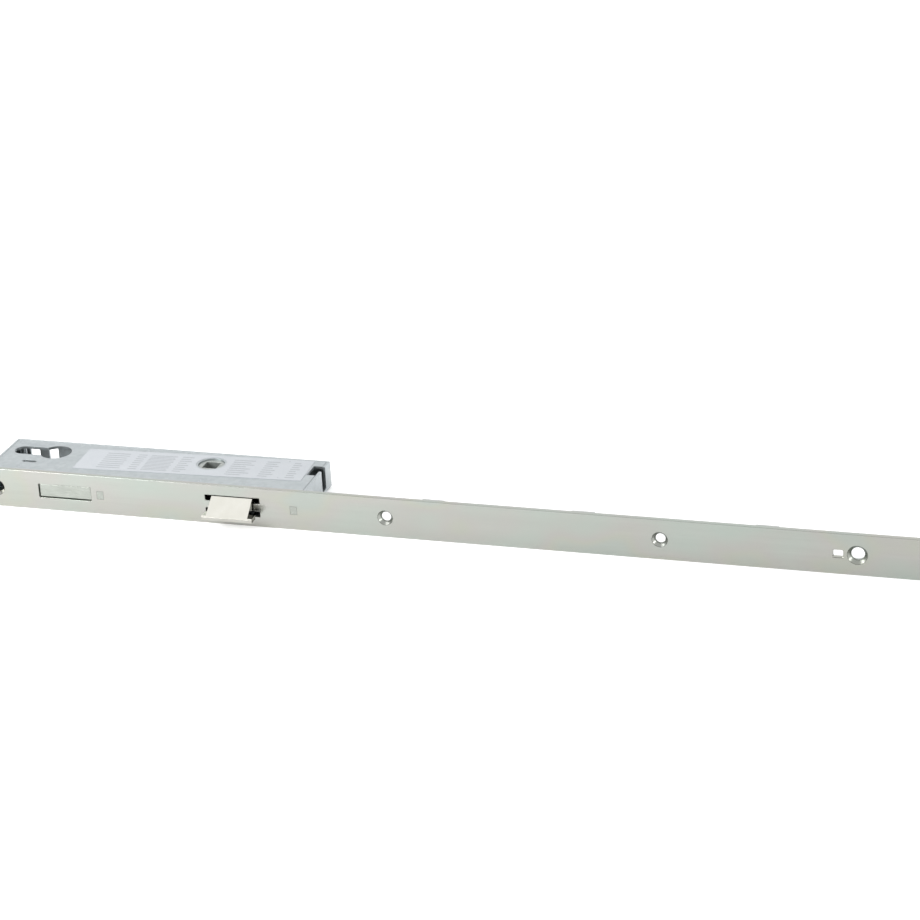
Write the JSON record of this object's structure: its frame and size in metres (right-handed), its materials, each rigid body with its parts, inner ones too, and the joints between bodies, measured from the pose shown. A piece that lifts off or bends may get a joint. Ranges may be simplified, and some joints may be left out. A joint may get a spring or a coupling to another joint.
{
  "type": "espagnolette lock",
  "caption": "Flat-faceplate espagnolette lock: case with bevelled latch and deadbolt, and drive rods that move mushroom locking cams along the faceplate.",
  "frame": {"origin": "on the faceplate's front face, in the middle of its width, level with the handle spindle", "axes": "+X up the door along the faceplate, -Y out of the faceplate's front, +Z out of the case's cover"},
  "size_m": [0.9, 0.0604, 0.022],
  "materials": {
    "plated_faceplate": "bright zinc plate with a thin clear passivation",
    "plated_case_sheet": "galvanised sheet, satin",
    "label_paper": "blank white paper label, silky",
    "turned_steel": "turned and zinc plated",
    "plated_stakes": "staked flush and plated with the faceplate",
    "latch_metal": "polished nickel plate on zinc casting",
    "inner_sheet": "plain bent sheet",
    "spring_wire": "drawn spring wire",
    "cast_follower": "cast zinc, dull grey",
    "deadbolt_steel": "plated steel, fine ground",
    "drive_steel": "zinc plated strip",
    "cast_gear": "sintered steel",
    "cam_steel": "turned and plated, satin"
  },
  "bodies": {
    "case": {"faceplate": "plated_faceplate", "case_tray": "plated_case_sheet", "case_cover": "plated_case_sheet", "case_label": "label_paper", "case_posts": "turned_steel", "lower_stake_block": "plated_stakes", "middle_stake_block": "plated_stakes", "upper_stake_block": "plated_stakes", "latch_guide": "inner_sheet", "latch_spring": "spring_wire", "return_spring_seat": "turned_steel", "return_spring": "spring_wire", "deadbolt_guide": "inner_sheet", "detent_spring": "spring_wire", "gear_axle": "turned_steel", "rod_guide_1": "inner_sheet", "rod_guide_2": "inner_sheet", "rod_guide_3": "inner_sheet", "rod_guide_4": "inner_sheet", "rod_guide_5": "inner_sheet"},
    "latch": {"latch_bolt": "latch_metal", "latch_tail": "turned_steel"},
    "follower": {"handle_follower": "cast_follower"},
    "deadbolt": {"deadbolt": "deadbolt_steel"},
    "slide": {"drive_slide": "drive_steel", "lower_rod": "drive_steel", "upper_rod": "drive_steel", "lower_coupling_rivet": "turned_steel", "upper_coupling_rivet": "turned_steel", "lower_cam_stud": "turned_steel", "upper_cam_stud": "turned_steel"},
    "key_gear": {"key_gear": "cast_gear"},
    "lower_cam": {"lower_cam_roller": "cam_steel"},
    "upper_cam": {"upper_cam_roller": "cam_steel"}
  },
  "joints": [
    {"name": "handle_turn", "type": "hinge", "parent": "case", "child": "follower", "pos_m": [0, 0.035, 0], "axis": [0, 0, 1], "range_deg": [0, 35.01], "stiffness_Nm_per_rad": 0.4, "springref_deg": -28.65, "deforming": ["return_spring"]},
    {"name": "latch_slide", "type": "slide", "parent": "case", "child": "latch", "axis": [0, 1, 0], "range_m": [0, 0.01052], "stiffness_N_per_m": 400, "springref_m": -0.01, "deforming": ["latch_spring"]},
    {"name": "slide_travel", "type": "slide", "parent": "case", "child": "slide", "axis": [1, 0, 0], "range_m": [0, 0.01885], "deforming": ["detent_spring"]},
    {"name": "deadbolt_throw", "type": "slide", "parent": "case", "child": "deadbolt", "axis": [0, -1, 0], "range_m": [0, 0.01401]},
    {"name": "key_gear_turn", "type": "hinge", "parent": "case", "child": "key_gear", "pos_m": [-0.066, 0.0355, 0], "axis": [0, 0, 1], "range_deg": [0, 120.01]},
    {"name": "lower_cam_spin", "type": "hinge", "parent": "slide", "child": "lower_cam", "pos_m": [-0.24, -0.005, 0], "axis": [0, 1, 0], "continuous": true},
    {"name": "upper_cam_spin", "type": "hinge", "parent": "slide", "child": "upper_cam", "pos_m": [0.52, -0.005, 0], "axis": [0, 1, 0], "continuous": true}
  ],
  "couplings": [
    {"joint": "handle_turn", "follows": "latch_slide", "rad_per_m": 58.041},
    {"joint": "deadbolt_throw", "follows": "slide_travel", "ratio": 0.74272},
    {"joint": "key_gear_turn", "follows": "slide_travel", "rad_per_m": 111.11}
  ]
}
